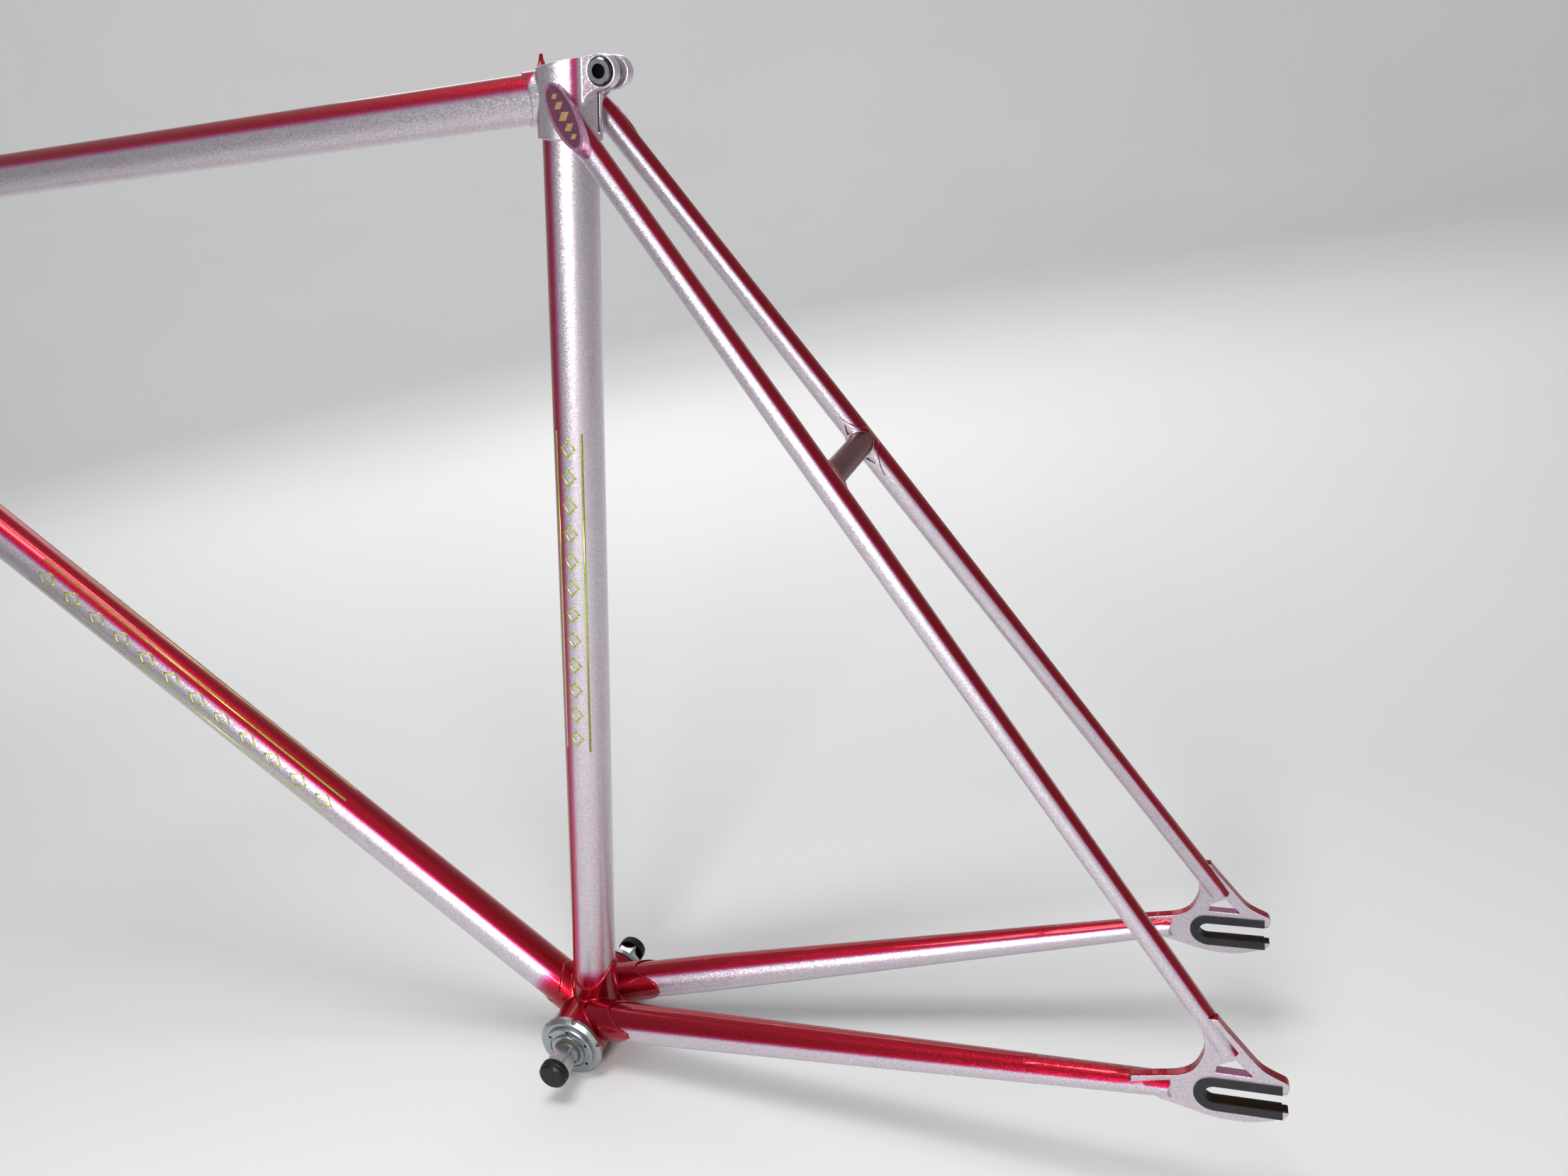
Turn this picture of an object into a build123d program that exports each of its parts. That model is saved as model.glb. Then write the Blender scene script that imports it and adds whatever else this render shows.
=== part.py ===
from build123d import *
from math import cos, sin, radians
import os

# Lugged steel track bicycle frame with its bottom bracket. Millimetres, +Z up, front is -X,
# left is -Y, origin at the centre of the bottom bracket axis.

os.makedirs("parts", exist_ok=True)

# frame lines
SEAT_ANGLE = 77.0        # seat tube above the horizontal
TOP_RISE = 3.8           # top tube climbs towards the head
DOWN_ANGLE = 44.2        # down tube above the horizontal, forwards
HEAD_ANGLE = 75.0
SEAT_LENGTH = 600.9      # bottom bracket to top tube, centre to centre
TOP_LENGTH = 575.0       # seat tube to head tube, centre to centre
REAR_SPACING = 120.0     # between the hub faces of the dropouts
SHELL_WIDTH = 68.0
# tubes
SEAT_OD, TOP_OD, DOWN_OD = 28.6, 25.4, 28.6
POST_BORE = 27.2
POST_FOOT = SEAT_LENGTH - 120.9  # the bore is reamed for the seat post from here up
SEAT_WALL = 0.9
WALL = 0.8
HEAD_OD, HEAD_BORE = 31.8, 30.2
CUP_SEAT = 14.0          # reamed depth for each headset cup
HEAD_WALL = 1.1
STAY_TOP_R, STAY_END_R = 7.1, 5.8
STAY_NECK_R = 6.6        # seat stay under its cap
CAP_HALF = 7.3           # half the width of a seat stay cap
CHAIN_FRONT_R, CHAIN_END_R = 12.0, 6.2
BRIDGE_R = 6.9
# lugs
BRAZE = 0.05             # radial gap filled by brass between tube and socket
COLLAR_WALL, SOCKET_WALL = 2.2, 1.0
SLIT = 2.6
EAR_R, EAR_IN, EAR_OUT = 8.2, 4.3, 10.8
BOLT_R, HEAD_R = 4.0, 6.5
# dropouts
PLATE, FACING = 5.0, 0.7
SLOT_W, FACING_W = 10.6, 20.8
SLOT_TILT = -2.4
# bottom bracket
SHELL_R, BORE_R = 20.0, 17.4
THREAD_GAP = 0.05
SPINDLE_R, SPINDLE_HALF = 8.5, SHELL_WIDTH / 2 + 26
BALL_R, BALLS, PITCH_R = 3.175, 11, 12.0
BALL_Y = SHELL_WIDTH / 2 - 7
RUN_GAP = 0.03           # running gap between balls and races
PIN_GAP = 0.08           # sliding fits on the spindle
LOCKRING_R, LOCKRING_W = 22.4, 4.2
CAP_R, CAP_END = 9.7, SPINDLE_HALF + 4

Y = Vector(0, 1, 0)
MIN = (Align.CENTER, Align.CENTER, Align.MIN)


def way(angle):
    return Vector(cos(radians(angle)), 0, sin(radians(angle)))


def side_plane(start, along):
    """Plane through an axis, x along it, y towards the rider's right."""
    return Plane(origin=start, x_dir=along, z_dir=along.cross(Y))


def top_plane(start, along):
    """Plane through an axis, x along it, y upwards."""
    return Plane(origin=start, x_dir=along, z_dir=along.cross(Vector(0, 0, 1)))


def flat_plane(start, along):
    """Plane of the frame's side view, x along an axis, normal to the left."""
    across = Vector(along.X, 0, along.Z).normalized()
    return Plane(origin=start, x_dir=across, z_dir=(0, -1, 0))


ORIGIN = Vector(0, 0, 0)
ST = way(SEAT_ANGLE)
DT = way(180 - DOWN_ANGLE)
TT = way(180 - TOP_RISE)
HT = Vector(-cos(radians(HEAD_ANGLE)), 0, -sin(radians(HEAD_ANGLE)))
NODE = ST * SEAT_LENGTH
HEAD_TOP = NODE + TT * TOP_LENGTH
cross_y = DT.X * HT.Z - DT.Z * HT.X
DOWN_LENGTH = (HEAD_TOP.X * HT.Z - HEAD_TOP.Z * HT.X) / cross_y
HEAD_LOW = DT * DOWN_LENGTH
HEAD_SPAN = (HEAD_LOW - HEAD_TOP).length

SLOT_X, SLOT_Z = 407.8, 48.0
STAY_LOW = (SLOT_X - 31.3, REAR_SPACING / 2 - 3.3, SLOT_Z + 98.3)
STAY_HIGH = (NODE.X + 40.83, 27.1, NODE.Z - 72.4)
CHAIN_FRONT = (43.1, 21.4, 10.8)
CHAIN_REAR = (SLOT_X - 60.6, REAR_SPACING / 2 - 2.0, SLOT_Z - 3.7)
CAP_HIGH = (NODE.X - 1.87, 17.0, NODE.Z + 5.7)
CAP_LOW = (NODE.X + 14.83, 30.8, NODE.Z - 28.0)
RIM_Z = NODE.Z + 14.7
LUG_FOOT, LUG_TOP = SEAT_LENGTH - 21.4, SEAT_LENGTH + 21.1
SLIT_FOOT = SEAT_LENGTH - 17.9
COLLAR_R = SEAT_OD / 2 + BRAZE + COLLAR_WALL
BRIDGE_S = 268.5

# ---------------------------------------------------------------- main tubes
with BuildPart() as seat_tube:
    with BuildSketch(side_plane(ORIGIN, ST)):
        with BuildLine():
            Polyline((10, SEAT_OD / 2 - SEAT_WALL), (POST_FOOT, SEAT_OD / 2 - SEAT_WALL),
                     (POST_FOOT, POST_BORE / 2), (LUG_TOP, POST_BORE / 2), (LUG_TOP, SEAT_OD / 2),
                     (10, SEAT_OD / 2), close=True)
        make_face()
    revolve(axis=Axis(ORIGIN, ST))
    split(bisect_by=Plane.XY.offset(RIM_Z - 1.5), keep=Keep.BOTTOM)
    with Locations(Plane(origin=(0, -50, 0), z_dir=(0, 1, 0))):
        Cylinder(BORE_R + 0.6, 100, align=MIN, mode=Mode.SUBTRACT)
    with BuildSketch(flat_plane(ORIGIN, ST)):
        with Locations((SLIT_FOOT + 40, -20)):
            Rectangle(80, 24)
        with Locations((SLIT_FOOT, -20)):
            Circle(2.2)
    extrude(amount=SLIT / 2, both=True, mode=Mode.SUBTRACT)
seat_tube.part.label = "seat_tube"
export_step(seat_tube.part, "parts/seat_tube.step")

with BuildPart() as top_tube:
    with BuildSketch(side_plane(NODE, TT)):
        with BuildLine():
            Polyline((5, TOP_OD / 2 - WALL), (TOP_LENGTH - 5, TOP_OD / 2 - WALL),
                     (TOP_LENGTH - 5, TOP_OD / 2), (5, TOP_OD / 2), close=True)
        make_face()
    revolve(axis=Axis(NODE, TT))
    with Locations(Plane(origin=ORIGIN, z_dir=ST)):
        Cylinder(SEAT_OD / 2 + BRAZE, LUG_TOP + 80, align=MIN, mode=Mode.SUBTRACT)
    with Locations(Plane(origin=HEAD_TOP - HT * 60, z_dir=HT)):
        Cylinder(HEAD_OD / 2 + BRAZE, 300, align=MIN, mode=Mode.SUBTRACT)
top_tube.part.label = "top_tube"
export_step(top_tube.part, "parts/top_tube.step")

with BuildPart() as down_tube:
    with BuildSketch(side_plane(ORIGIN, DT)):
        with BuildLine():
            Polyline((10, DOWN_OD / 2 - WALL), (DOWN_LENGTH - 5, DOWN_OD / 2 - WALL),
                     (DOWN_LENGTH - 5, DOWN_OD / 2), (10, DOWN_OD / 2), close=True)
        make_face()
    revolve(axis=Axis(ORIGIN, DT))
    with Locations(Plane(origin=(0, -50, 0), z_dir=(0, 1, 0))):
        Cylinder(BORE_R + 0.6, 100, align=MIN, mode=Mode.SUBTRACT)
    with Locations(Plane(origin=ORIGIN, z_dir=ST)):
        Cylinder(SEAT_OD / 2 + BRAZE, 200, align=MIN, mode=Mode.SUBTRACT)
    with Locations(Plane(origin=HEAD_TOP - HT * 60, z_dir=HT)):
        Cylinder(HEAD_OD / 2 + BRAZE, 400, align=MIN, mode=Mode.SUBTRACT)
down_tube.part.label = "down_tube"
export_step(down_tube.part, "parts/down_tube.step")

with BuildPart() as head_tube:
    with Locations(Plane(origin=HEAD_TOP - HT * 24, z_dir=HT)):
        Cylinder(HEAD_OD / 2, HEAD_SPAN + 52, align=MIN)
        Cylinder(HEAD_OD / 2 - HEAD_WALL, HEAD_SPAN + 52, align=MIN, mode=Mode.SUBTRACT)
        Cylinder(HEAD_BORE / 2, CUP_SEAT, align=MIN, mode=Mode.SUBTRACT)
    with Locations(Plane(origin=HEAD_LOW + HT * (28 - CUP_SEAT), z_dir=HT)):
        Cylinder(HEAD_BORE / 2, CUP_SEAT, align=MIN, mode=Mode.SUBTRACT)
head_tube.part.label = "head_tube"
export_step(head_tube.part, "parts/head_tube.step")

# ---------------------------------------------------------------- seat lug
TOP_SOCKET_R = TOP_OD / 2 + BRAZE + SOCKET_WALL
with BuildPart() as top_sleeve:
    with Locations(Plane(origin=NODE, z_dir=TT)):
        Cylinder(TOP_SOCKET_R, 40, align=MIN)
    with BuildSketch(flat_plane(NODE, TT)):
        with BuildLine():
            Spline((36, -TOP_SOCKET_R - 1), (22.5, -0.92 * TOP_SOCKET_R), (17.2, -0.62 * TOP_SOCKET_R),
                   (15.0, 0), (17.2, 0.62 * TOP_SOCKET_R), (22.5, 0.92 * TOP_SOCKET_R),
                   (36, TOP_SOCKET_R + 1))
            Polyline((36, TOP_SOCKET_R + 1), (36, 22), (-1, 22), (-1, -22), (36, -22),
                     (36, -TOP_SOCKET_R - 1))
        make_face()
    extrude(amount=30, both=True, mode=Mode.INTERSECT)

with BuildPart() as rim_peak:
    with Locations(Plane(origin=ST * SEAT_LENGTH, z_dir=ST)):
        Cylinder(COLLAR_R, 30, align=MIN)
    with BuildSketch(Plane(origin=(ST.X * LUG_TOP - 1, 0, 0), x_dir=(0, -1, 0), z_dir=(-1, 0, 0))):
        with BuildLine():
            Spline((-8.5, RIM_Z - 1), (-4.6, RIM_Z + 0.6), (-1.8, RIM_Z + 3.1), (-0.3, RIM_Z + 7.2))
            Line((-0.3, RIM_Z + 7.2), (0.3, RIM_Z + 7.2))
            Spline((0.3, RIM_Z + 7.2), (1.8, RIM_Z + 3.1), (4.6, RIM_Z + 0.6), (8.5, RIM_Z - 1))
            Polyline((8.5, RIM_Z - 1), (8.5, RIM_Z - 6), (-8.5, RIM_Z - 6), (-8.5, RIM_Z - 1))
        make_face()
    extrude(amount=40, mode=Mode.INTERSECT)

EAR_S, EAR_F = SEAT_LENGTH + 11.7, -22.7
with BuildPart() as seat_lug:
    with Locations(Plane(origin=ST * LUG_FOOT, z_dir=ST)):
        Cylinder(COLLAR_R, LUG_TOP - LUG_FOOT + 8, align=MIN)
    split(bisect_by=Plane.XY.offset(RIM_Z), keep=Keep.BOTTOM)
    for left in (-1, 1):
        with BuildSketch(Plane(origin=(0, left * (EAR_IN if left < 0 else EAR_OUT), 0),
                               x_dir=ST, z_dir=(0, -1, 0))):
            with BuildLine():
                Polyline((EAR_S - 20.6, 2), (EAR_S - 20.6, -11.9), (EAR_S - 18.1, -12.3))
                Spline((EAR_S - 18.1, -12.3), (EAR_S - 14.0, -13.9), (EAR_S - 10.2, -17.4),
                       (EAR_S - EAR_R, EAR_F))
                Polyline((EAR_S - EAR_R, EAR_F), (EAR_S + EAR_R - 0.1, EAR_F), (EAR_S + 3.7, 2),
                         (EAR_S - 20.6, 2))
            make_face()
            with Locations((EAR_S, EAR_F)):
                Circle(EAR_R)
        extrude(amount=EAR_OUT - EAR_IN)
    split(bisect_by=Plane.XY.offset(RIM_Z), keep=Keep.BOTTOM)
    add(top_sleeve.part)
    add(rim_peak.part)
    with Locations(Plane(origin=ORIGIN, z_dir=ST)):
        Cylinder(SEAT_OD / 2 + BRAZE, LUG_TOP + 80, align=MIN, mode=Mode.SUBTRACT)
    with Locations(Plane(origin=NODE, z_dir=TT)):
        Cylinder(TOP_OD / 2 + BRAZE, 80, align=MIN, mode=Mode.SUBTRACT)
    with BuildSketch(flat_plane(ORIGIN, ST)):
        with Locations((SLIT_FOOT + 40, -20)):
            Rectangle(80, 24)
        with Locations((SLIT_FOOT, -20)):
            Circle(2.2)
    extrude(amount=SLIT / 2, both=True, mode=Mode.SUBTRACT)
    with Locations(Plane(origin=ST * EAR_S + way(SEAT_ANGLE + 90) * EAR_F - Y * 20, z_dir=Y)):
        Cylinder(BOLT_R + 0.1, 40, align=MIN, mode=Mode.SUBTRACT)
        Cylinder(HEAD_R + 0.15, 20 - EAR_OUT + 2.0, align=MIN, mode=Mode.SUBTRACT)
seat_lug.part.label = "seat_lug"
export_step(seat_lug.part, "parts/seat_lug.step")

BOLT_AT = ST * EAR_S + way(SEAT_ANGLE + 90) * EAR_F
with BuildPart() as binder_bolt:
    with Locations(Plane(origin=BOLT_AT - Y * (EAR_OUT - 2.0), z_dir=Y)):
        Cylinder(BOLT_R, 2 * EAR_OUT - 2.0 + 3.5, align=MIN)
    with Locations(Plane(origin=BOLT_AT - Y * (EAR_OUT + 1.8), z_dir=Y)):
        Cylinder(HEAD_R, 3.8, align=MIN)
    chamfer(binder_bolt.edges().group_by(Axis.Y)[0], 0.8)
    with BuildSketch(Plane(origin=BOLT_AT - Y * (EAR_OUT + 1.8), z_dir=Y)):
        RegularPolygon(3.4, 6)
    extrude(amount=3.0, mode=Mode.SUBTRACT)
binder_bolt.part.label = "binder_bolt"
export_step(binder_bolt.part, "parts/binder_bolt.step")

with BuildPart() as binder_nut:
    with Locations(Plane(origin=BOLT_AT + Y * EAR_OUT, z_dir=Y)):
        Cylinder(HEAD_R, 3.2, align=MIN)
    chamfer(binder_nut.edges().group_by(Axis.Y)[-1], 0.8)
    with Locations(Plane(origin=BOLT_AT, z_dir=Y)):
        Cylinder(BOLT_R + BRAZE, 30, align=MIN, mode=Mode.SUBTRACT)
binder_nut.part.label = "binder_nut"
export_step(binder_nut.part, "parts/binder_nut.step")

# ---------------------------------------------------------------- head lugs
HEAD_COLLAR_R = HEAD_OD / 2 + BRAZE + 1.3
for name, centre, back, tube_r, low, high in (
        ("upper_head_lug", HEAD_TOP, TT * -1, TOP_OD / 2, -23.0, 21.0),
        ("lower_head_lug", HEAD_LOW, DT * -1, DOWN_OD / 2, -25.0, 27.0)):
    socket_r = tube_r + BRAZE + SOCKET_WALL
    with BuildPart() as sleeve:
        with Locations(Plane(origin=centre, z_dir=back)):
            Cylinder(socket_r, 62, align=MIN)
        with BuildSketch(flat_plane(centre, back)):
            with BuildLine():
                Spline((60, -socket_r - 1), (41, -0.9 * socket_r), (31, -0.45 * socket_r), (28, 0),
                       (31, 0.45 * socket_r), (41, 0.9 * socket_r), (60, socket_r + 1))
                Polyline((60, socket_r + 1), (60, 24), (-1, 24), (-1, -24), (60, -24),
                         (60, -socket_r - 1))
            make_face()
        extrude(amount=30, both=True, mode=Mode.INTERSECT)
    with BuildPart() as head_lug:
        with Locations(Plane(origin=centre + HT * low, z_dir=HT)):
            Cylinder(HEAD_COLLAR_R, high - low, align=MIN)
        add(sleeve.part)
        with Locations(Plane(origin=centre - HT * 60, z_dir=HT)):
            Cylinder(HEAD_OD / 2 + BRAZE, 120, align=MIN, mode=Mode.SUBTRACT)
        with Locations(Plane(origin=centre, z_dir=back)):
            Cylinder(tube_r + BRAZE, 90, align=MIN, mode=Mode.SUBTRACT)
    head_lug.part.label = name
    export_step(head_lug.part, f"parts/{name}.step")

# ---------------------------------------------------------------- bottom bracket shell
SEAT_SOCKET_R = SEAT_OD / 2 + BRAZE + SOCKET_WALL
CHAIN_SOCKET_R = CHAIN_FRONT_R + BRAZE + SOCKET_WALL
with BuildPart() as seat_sleeve:
    with Locations(Plane(origin=ORIGIN, z_dir=ST)):
        Cylinder(SEAT_SOCKET_R, 60, align=MIN)
    with BuildSketch(flat_plane(ORIGIN, ST)):
        with BuildLine():
            Spline((58, -SEAT_SOCKET_R - 1), (44, -0.93 * SEAT_SOCKET_R), (35.5, -0.62 * SEAT_SOCKET_R),
                   (30.5, -0.1 * SEAT_SOCKET_R), (31, 0.4 * SEAT_SOCKET_R), (34, SEAT_SOCKET_R + 1))
            Polyline((34, SEAT_SOCKET_R + 1), (34, 24), (-1, 24), (-1, -24), (58, -24),
                     (58, -SEAT_SOCKET_R - 1))
        make_face()
    extrude(amount=30, both=True, mode=Mode.INTERSECT)

with BuildPart() as down_sleeve:
    with Locations(Plane(origin=ORIGIN, z_dir=DT)):
        Cylinder(SEAT_SOCKET_R, 60, align=MIN)
    with BuildSketch(flat_plane(ORIGIN, DT)):
        with BuildLine():
            Spline((50, SEAT_SOCKET_R + 1), (36, 0.93 * SEAT_SOCKET_R), (30, 0.65 * SEAT_SOCKET_R),
                   (27.2, 0.1 * SEAT_SOCKET_R), (28.6, -0.45 * SEAT_SOCKET_R), (33, -0.85 * SEAT_SOCKET_R),
                   (42, -SEAT_SOCKET_R - 1))
            Polyline((42, -SEAT_SOCKET_R - 1), (42, -24), (-1, -24), (-1, 24), (50, 24),
                     (50, SEAT_SOCKET_R + 1))
        make_face()
    extrude(amount=30, both=True, mode=Mode.INTERSECT)

CHAIN_WAY = {}
STAY_WAY = {}
for side in (-1, 1):
    start = Vector(CHAIN_FRONT[0], side * CHAIN_FRONT[1], CHAIN_FRONT[2])
    CHAIN_WAY[side] = (Vector(CHAIN_REAR[0], side * CHAIN_REAR[1], CHAIN_REAR[2]) - start).normalized()
    start = Vector(STAY_LOW[0], side * STAY_LOW[1], STAY_LOW[2])
    STAY_WAY[side] = (Vector(STAY_HIGH[0], side * STAY_HIGH[1], STAY_HIGH[2]) - start).normalized()

with BuildPart() as chain_sleeves:
    for side in (-1, 1):
        start = Vector(CHAIN_FRONT[0], side * CHAIN_FRONT[1], CHAIN_FRONT[2])
        with Locations(Plane(origin=start - CHAIN_WAY[side] * 36, z_dir=CHAIN_WAY[side])):
            Cylinder(CHAIN_SOCKET_R, 45, align=MIN)
    with BuildSketch(Plane.XY.offset(-40)):
        for side in (-1, 1):
            with BuildLine():
                Polyline((8, side * 4), (26, side * 4), (34, side * 7.0), (49, side * 8.2))
                Spline((49, side * 8.2), (36, side * 12.5), (28.5, side * 17), (27, side * 20.5),
                       (29, side * 25), (34, side * 30), (45, side * 34.5))
                Polyline((45, side * 34.5), (30, side * 38), (8, side * 38), (8, side * 4))
            make_face()
    extrude(amount=80, mode=Mode.INTERSECT)

with BuildPart() as bottom_bracket_shell:
    with Locations(Plane(origin=(0, -SHELL_WIDTH / 2, 0), z_dir=(0, 1, 0))):
        Cylinder(SHELL_R, SHELL_WIDTH, align=MIN)
    add(seat_sleeve.part)
    add(down_sleeve.part)
    add(chain_sleeves.part)
    with Locations(Plane(origin=(0, -SHELL_WIDTH, 0), z_dir=(0, 1, 0))):
        Cylinder(BORE_R, 2 * SHELL_WIDTH, align=MIN, mode=Mode.SUBTRACT)
    for along in (ST, DT):
        with Locations(Plane(origin=ORIGIN, z_dir=along)):
            Cylinder(SEAT_OD / 2 + BRAZE, 90, align=MIN, mode=Mode.SUBTRACT)
    for side in (-1, 1):
        start = Vector(CHAIN_FRONT[0], side * CHAIN_FRONT[1], CHAIN_FRONT[2])
        with Locations(Plane(origin=start - CHAIN_WAY[side] * 36, z_dir=CHAIN_WAY[side])):
            Cylinder(CHAIN_FRONT_R + BRAZE, 90, align=MIN, mode=Mode.SUBTRACT)
bottom_bracket_shell.part.label = "bottom_bracket_shell"
export_step(bottom_bracket_shell.part, "parts/bottom_bracket_shell.step")

# ---------------------------------------------------------------- rear triangle
SLOT_WAY = way(SLOT_TILT)
SLOT_AT = Vector(SLOT_X, 0, SLOT_Z)
PLATE_IN = REAR_SPACING / 2 + FACING
PLATE_OUT = PLATE_IN + PLATE
CHAIN_LENGTH = 349.0     # front reference to the plate end
TAPER = [(-34, CHAIN_FRONT_R), (38, CHAIN_FRONT_R)]
for step, swell in ((0.25, 0.06), (0.5, 0.08), (0.75, 0.05)):
    TAPER.append((38 + step * (CHAIN_LENGTH - 38),
                  CHAIN_FRONT_R + step * (CHAIN_END_R - CHAIN_FRONT_R) + swell))
STAY_TAIL = 83.5         # low reference to the plate end
TONGUE_Z = 95.6          # top of the plate's tongue inside the seat stay
TONGUE_X = 41.0          # front end of the tongue inside the chain stay, from the axle
for side, name in ((-1, "left"), (1, "right")):
    start = Vector(CHAIN_FRONT[0], side * CHAIN_FRONT[1], CHAIN_FRONT[2])
    along = CHAIN_WAY[side]
    with BuildPart() as chain_stay:
        with BuildSketch(top_plane(start, along)):
            with BuildLine():
                Polyline(*[(x, r - WALL) for x, r in TAPER], (CHAIN_LENGTH - 22, CHAIN_END_R + 0.4 - WALL),
                         (CHAIN_LENGTH - 22, 0), (CHAIN_LENGTH, 0), (CHAIN_LENGTH, CHAIN_END_R),
                         *reversed(TAPER), close=True)
            make_face()
        revolve(axis=Axis(start, along))
        with Locations(Plane(origin=(0, -50, 0), z_dir=(0, 1, 0))):
            Cylinder(BORE_R + 0.6, 100, align=MIN, mode=Mode.SUBTRACT)
        with Locations(Plane(origin=ORIGIN, z_dir=ST)):
            Cylinder(SEAT_OD / 2 + BRAZE, 200, align=MIN, mode=Mode.SUBTRACT)
        low_y = side * (PLATE_IN + PLATE / 2)
        with Locations((SLOT_X - TONGUE_X - 0.6, low_y, SLOT_Z)):
            Box(90, PLATE + 2 * BRAZE, 60, align=(Align.MIN, Align.CENTER, Align.CENTER),
                mode=Mode.SUBTRACT)
        with Locations(Plane(origin=(SLOT_X - 15.5, -90, SLOT_Z), z_dir=(0, 1, 0))):
            Cylinder(7.5, 180, align=MIN, mode=Mode.SUBTRACT)
    chain_stay.part.label = f"{name}_chain_stay"
    export_step(chain_stay.part, f"parts/{name}_chain_stay.step")

    start = Vector(STAY_LOW[0], side * STAY_LOW[1], STAY_LOW[2])
    along = STAY_WAY[side]
    high = Vector(CAP_HIGH[0], side * CAP_HIGH[1], CAP_HIGH[2])
    low = Vector(CAP_LOW[0], side * CAP_LOW[1], CAP_LOW[2])
    reach = (high - start).length + 3
    bevel = (high - low).normalized()
    across = along.cross(Y).normalized()
    face = bevel.cross(across).normalized()
    face = face * (-1 if face.Y * side < 0 else 1)
    cap_plane = Plane(origin=(high + low) * 0.5, x_dir=bevel, z_dir=face)
    with BuildPart() as seat_stay:
        with BuildSketch(top_plane(start, along)):
            with BuildLine():
                Polyline((-STAY_TAIL + 20, STAY_END_R - WALL), (0, STAY_END_R - WALL),
                         (230, STAY_TOP_R - WALL), (305, STAY_TOP_R - WALL), (400, STAY_NECK_R - WALL),
                         (reach, STAY_NECK_R - WALL), (reach, STAY_NECK_R), (400, STAY_NECK_R),
                         (305, STAY_TOP_R), (230, STAY_TOP_R), (0, STAY_END_R + 0.05),
                         (-STAY_TAIL, STAY_END_R),
                         (-STAY_TAIL, 0), (-STAY_TAIL + 20, 0), close=True)
            make_face()
        revolve(axis=Axis(start, along))
        split(bisect_by=cap_plane.offset(-1.8), keep=Keep.BOTTOM)
        split(bisect_by=Plane(origin=high, z_dir=along), keep=Keep.BOTTOM)
        with Locations(Plane(origin=ORIGIN, z_dir=ST)):
            Cylinder(COLLAR_R + BRAZE, LUG_TOP + 80, align=MIN, mode=Mode.SUBTRACT)
        with Locations((SLOT_X, side * (PLATE_IN + PLATE / 2), TONGUE_Z + 0.6 - 65)):
            Box(96, PLATE + 2 * BRAZE, 130, mode=Mode.SUBTRACT)
        with Locations(Plane(origin=(SLOT_X + 8.6, -90, SLOT_Z + 18), z_dir=(0, 1, 0))):
            Cylinder(9.5, 180, align=MIN, mode=Mode.SUBTRACT)
    seat_stay.part.label = f"{name}_seat_stay"
    export_step(seat_stay.part, f"parts/{name}_seat_stay.step")

    with BuildPart() as cap:
        with Locations(Plane(origin=start + along * (reach - 72), z_dir=along)):
            Cylinder(CAP_HALF, 80, align=MIN)
        with Locations(cap_plane.offset(-0.875)):
            Box(60, 40, 1.75, align=(Align.MAX, Align.CENTER, Align.CENTER), mode=Mode.INTERSECT)
        with BuildSketch(cap_plane):
            Ellipse(20.0, CAP_HALF)
        extrude(amount=-1.75)
        with BuildSketch(cap_plane):
            Ellipse(18.7, CAP_HALF - 1.1)
        extrude(amount=-0.7, mode=Mode.SUBTRACT)
        with Locations(Plane(origin=ORIGIN, z_dir=ST)):
            Cylinder(COLLAR_R + BRAZE, LUG_TOP + 80, align=MIN, mode=Mode.SUBTRACT)
        with Locations(Plane(origin=NODE, z_dir=TT)):
            Cylinder(TOP_SOCKET_R + BRAZE, 40, align=MIN, mode=Mode.SUBTRACT)
    cap.part.label = f"{name}_seat_stay_cap"
    export_step(cap.part, f"parts/{name}_seat_stay_cap.step")

    with BuildPart() as dropout:
        with BuildSketch(Plane(origin=SLOT_AT + Y * (-PLATE_IN if side < 0 else PLATE_OUT),
                               x_dir=SLOT_WAY, z_dir=(0, -1, 0))):
            with BuildLine():
                Spline((-30, -6.4), (-25.6, -8.4), (-17.7, -10.4), (-8.9, -13.2), (-1.5, -15.0),
                       (7.1, -15.9), (17.9, -15.1), (25.2, -13.0), (31.4, -10.6))
                Spline((31.4, -10.6), (33.9, -8.6), (34.6, -6.4), (34.0, -4.4), (32.5, -3.6))
                Line((32.5, -3.6), (30, -3.6))
                Line((30, -3.6), (30, 4.0))
                Line((30, 4.0), (32.5, 4.0))
                Spline((32.5, 4.0), (34.6, 7.2), (35.0, 10.6), (32.6, 13.4))
                Spline((32.6, 13.4), (27.6, 15.9), (23.5, 18.6), (18.6, 24.2), (14.0, 30.7),
                       (8.0, 38.9), (2.4, 47.4))
                Line((2.4, 47.4), (-8.6, 47.4))
                Spline((-8.6, 47.4), (-5.6, 39.6), (-4.4, 31.5), (-4.6, 26.5), (-6.2, 21.2),
                       (-10.5, 13.7), (-16.3, 9.8), (-25.1, 7.6), (-30, 6.6))
                Polyline((-30, 6.6), (-TONGUE_X, 4.6), (-TONGUE_X, -4.6), (-30, -6.4))
            make_face()
            with Locations((20, 0)):
                Rectangle(40, SLOT_W, mode=Mode.SUBTRACT)
            Circle(SLOT_W / 2, mode=Mode.SUBTRACT)
            with BuildLine():
                Polyline((0.6, 14.0), (1.4, 18.6), (10.2, 23.4), (18.4, 13.8), close=True)
            make_face(mode=Mode.SUBTRACT)
        extrude(amount=PLATE)
    dropout.part.label = f"{name}_dropout"
    export_step(dropout.part, f"parts/{name}_dropout.step")

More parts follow.
